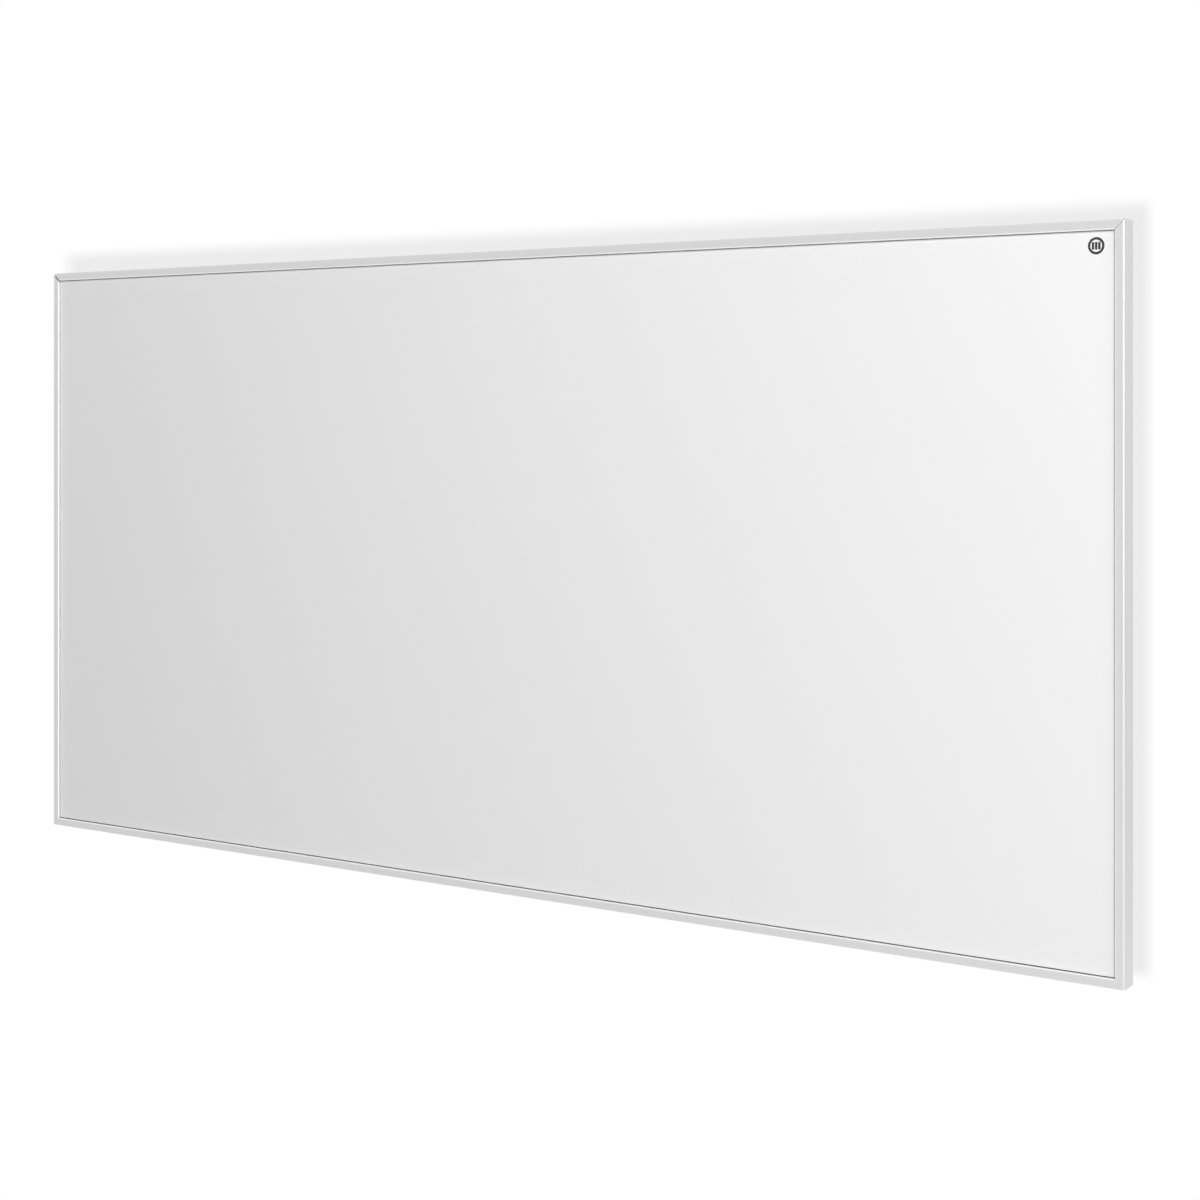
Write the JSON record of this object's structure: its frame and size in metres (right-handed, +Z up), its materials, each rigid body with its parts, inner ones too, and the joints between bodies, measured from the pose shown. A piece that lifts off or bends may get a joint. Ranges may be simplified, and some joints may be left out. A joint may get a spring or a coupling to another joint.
{
  "type": "infrared panel heater",
  "caption": "Slim flat wall heater: a white sheet in a mitred aluminium frame, with a rear cover, keyhole hanging brackets and a switched terminal box.",
  "frame": {"origin": "on the wall's surface, at the centre of the four wall screws", "axes": "+X to the right seen from the room, +Y into the wall, +Z up"},
  "size_m": [1.2, 0.04, 0.6],
  "materials": {
    "frame_aluminium": "satin, clear anodised",
    "front_coating": "matt white powder coat",
    "seal_rubber": "matt",
    "seal_foam": "dark grey foam tape, matt",
    "laminate_board": "smooth resin board",
    "carbon_film": "printed carbon film",
    "copper": "rolled copper foil",
    "tinned_brass": "tinned",
    "bright_foil": "bright foil",
    "mineral_wool": "pressed mineral wool",
    "galvanised_sheet": "hot-dip galvanised",
    "zinc_brackets": "bright zinc plated",
    "zinc_screws": "bright zinc plated",
    "box_plastic": "fine spark texture",
    "block_plastic": "moulded",
    "cutout_metal": "drawn",
    "key_plastic": "glass-filled nylon",
    "gland_nylon": "moulded nylon",
    "switch_plastic": "moulded, satin",
    "rocker_plastic": "moulded, polished",
    "brown_lead": "silicone sleeve",
    "blue_lead": "silicone sleeve",
    "green_lead": "silicone sleeve, green and yellow"
  },
  "bodies": {
    "panel": {"backing_sheet": "laminate_board", "box_lid": "box_plastic", "box_nuts": "zinc_screws", "box_screws": "zinc_screws", "box_seal": "seal_rubber", "bracket_lower_left": "zinc_brackets", "bracket_lower_right": "zinc_brackets", "bracket_screws": "zinc_screws", "bracket_upper_left": "zinc_brackets", "bracket_upper_right": "zinc_brackets", "busbar_lower": "copper", "busbar_terminals": "tinned_brass", "busbar_upper": "copper", "carbon_strips": "carbon_film", "carrier_board": "laminate_board", "clamp_screws": "zinc_screws", "corner_keys": "key_plastic", "corner_screws": "zinc_screws", "cover_screws": "zinc_screws", "earth_lead": "green_lead", "earth_lug": "tinned_brass", "earth_nut": "zinc_screws", "earth_screw": "zinc_screws", "element_lead": "brown_lead", "frame_bottom": "frame_aluminium", "frame_left": "frame_aluminium", "frame_right": "frame_aluminium", "frame_top": "frame_aluminium", "front_panel": "front_coating", "front_seal": "seal_foam", "gland_body": "gland_nylon", "gland_locknut": "gland_nylon", "gland_nut": "gland_nylon", "gland_seal": "seal_rubber", "insulation_board": "mineral_wool", "lid_screws": "zinc_screws", "line_lead": "brown_lead", "neutral_lead": "blue_lead", "rear_cover": "galvanised_sheet", "rear_gasket": "seal_rubber", "reflector_foil": "bright_foil", "spade_connectors": "tinned_brass", "stiffener_left": "galvanised_sheet", "stiffener_right": "galvanised_sheet", "switch_housing": "switch_plastic", "switch_tabs": "tinned_brass", "switched_lead": "brown_lead", "terminal_block": "block_plastic", "terminal_box": "box_plastic", "thermal_cutout": "cutout_metal", "weld_nuts": "zinc_screws", "wire_grommet": "seal_rubber"},
    "rocker": {"rocker": "rocker_plastic"}
  },
  "joints": [
    {"name": "rocker_tilt", "type": "hinge", "parent": "panel", "child": "rocker", "pos_m": [0.312, -0.011, -0.2682], "axis": [0, -1, 0], "range_deg": [0, 22]}
  ]
}
